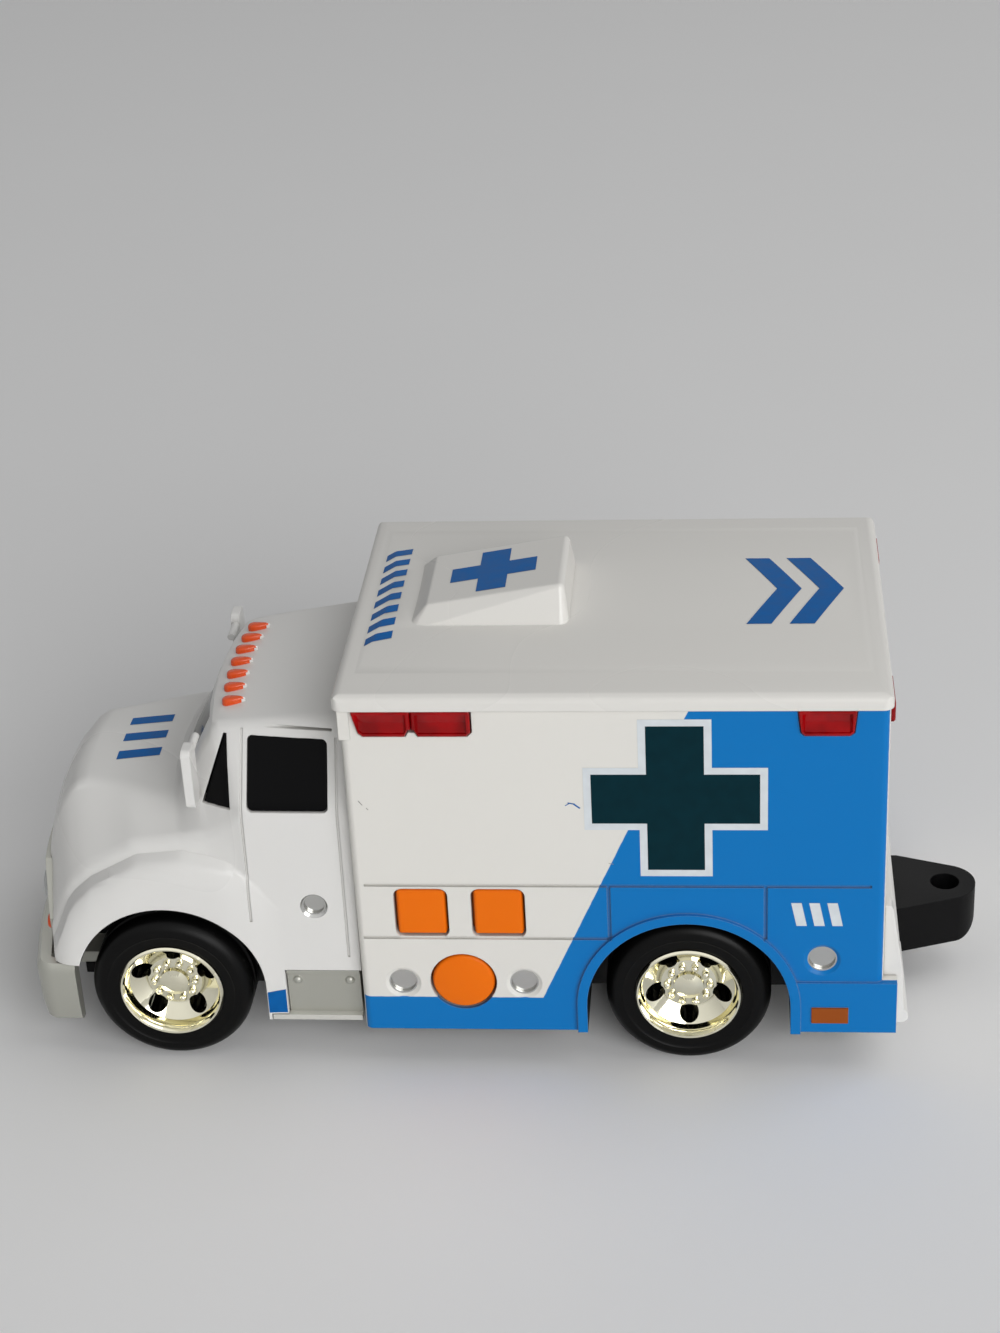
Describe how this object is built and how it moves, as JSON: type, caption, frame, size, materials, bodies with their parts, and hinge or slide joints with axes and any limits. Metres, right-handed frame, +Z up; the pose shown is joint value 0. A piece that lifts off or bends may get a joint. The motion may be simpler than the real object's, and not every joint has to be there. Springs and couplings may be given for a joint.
{
  "type": "toy ambulance",
  "caption": "Toy box ambulance with free-rolling axles, push buttons for light and sound on one side, red lamp lenses along the roof edge and a tow eye at the back.",
  "frame": {"origin": "on the ground, midway along the overall length and width", "axes": "+X forward, +Y to the driver's side, +Z up"},
  "size_m": [0.1472, 0.058, 0.0718],
  "materials": {
    "cab_white": "gloss ABS, moulded white",
    "box_white": "gloss ABS, moulded off-white, blue printed on the sides",
    "window_black": "gloss black styrene",
    "pearl_silver": "ABS with silver pearl paint",
    "lens_red": "clear red styrene",
    "button_orange": "satin orange ABS",
    "chassis_black": "satin black ABS",
    "hub_chrome": "vacuum-plated styrene, warm chrome",
    "tyre_black": "soft black PVC",
    "steel": "nickel-plated steel",
    "speaker_steel": "plain steel basket",
    "board_green": "green solder mask on laminate",
    "pad_silicone": "grey silicone rubber",
    "led_red": "red diffused epoxy"
  },
  "bodies": {
    "truck": {"cab_shell": "cab_white", "mirror_left": "cab_white", "mirror_right": "cab_white", "rear_bumper": "cab_white", "box_shell": "box_white", "roof_cover": "box_white", "cab_glazing": "window_black", "grille_panel": "pearl_silver", "front_bumper": "pearl_silver", "side_step_left": "pearl_silver", "side_step_right": "pearl_silver", "front_lens_left": "lens_red", "front_lens_right": "lens_red", "rear_lens_left": "lens_red", "rear_lens_right": "lens_red", "tail_lens_left": "lens_red", "tail_lens_right": "lens_red", "tow_hitch": "chassis_black", "chassis": "chassis_black", "battery_door": "chassis_black", "body_screws": "steel", "board_screws": "steel", "door_screw": "steel", "button_cells": "steel", "battery_contacts": "steel", "speaker": "speaker_steel", "circuit_board": "board_green", "button_pad": "pad_silicone", "front_leds": "led_red", "rear_leds": "led_red"},
    "front_wheels": {"front_axle": "steel", "hub_front_left": "hub_chrome", "hub_front_right": "hub_chrome", "tyre_front_left": "tyre_black", "tyre_front_right": "tyre_black"},
    "rear_wheels": {"rear_axle": "steel", "hub_rear_left": "hub_chrome", "hub_rear_right": "hub_chrome", "tyre_rear_left": "tyre_black", "tyre_rear_right": "tyre_black"},
    "front_square_key": {"square_button_front": "button_orange"},
    "rear_square_key": {"square_button_rear": "button_orange"},
    "round_key": {"round_button": "button_orange"}
  },
  "joints": [
    {"name": "front_axle_spin", "type": "hinge", "parent": "truck", "child": "front_wheels", "pos_m": [0.04938, 0, 0.01235], "axis": [0, 1, 0], "continuous": true},
    {"name": "rear_axle_spin", "type": "hinge", "parent": "truck", "child": "rear_wheels", "pos_m": [-0.02913, 0, 0.01235], "axis": [0, 1, 0], "continuous": true},
    {"name": "front_square_press", "type": "slide", "parent": "truck", "child": "front_square_key", "axis": [0, -1, 0], "range_m": [0, 0.001], "stiffness_N_per_m": 600, "springref_m": -0.0005},
    {"name": "rear_square_press", "type": "slide", "parent": "truck", "child": "rear_square_key", "axis": [0, -1, 0], "range_m": [0, 0.001], "stiffness_N_per_m": 600, "springref_m": -0.0005},
    {"name": "round_press", "type": "slide", "parent": "truck", "child": "round_key", "axis": [0, -1, 0], "range_m": [0, 0.001], "stiffness_N_per_m": 600, "springref_m": -0.0005}
  ]
}
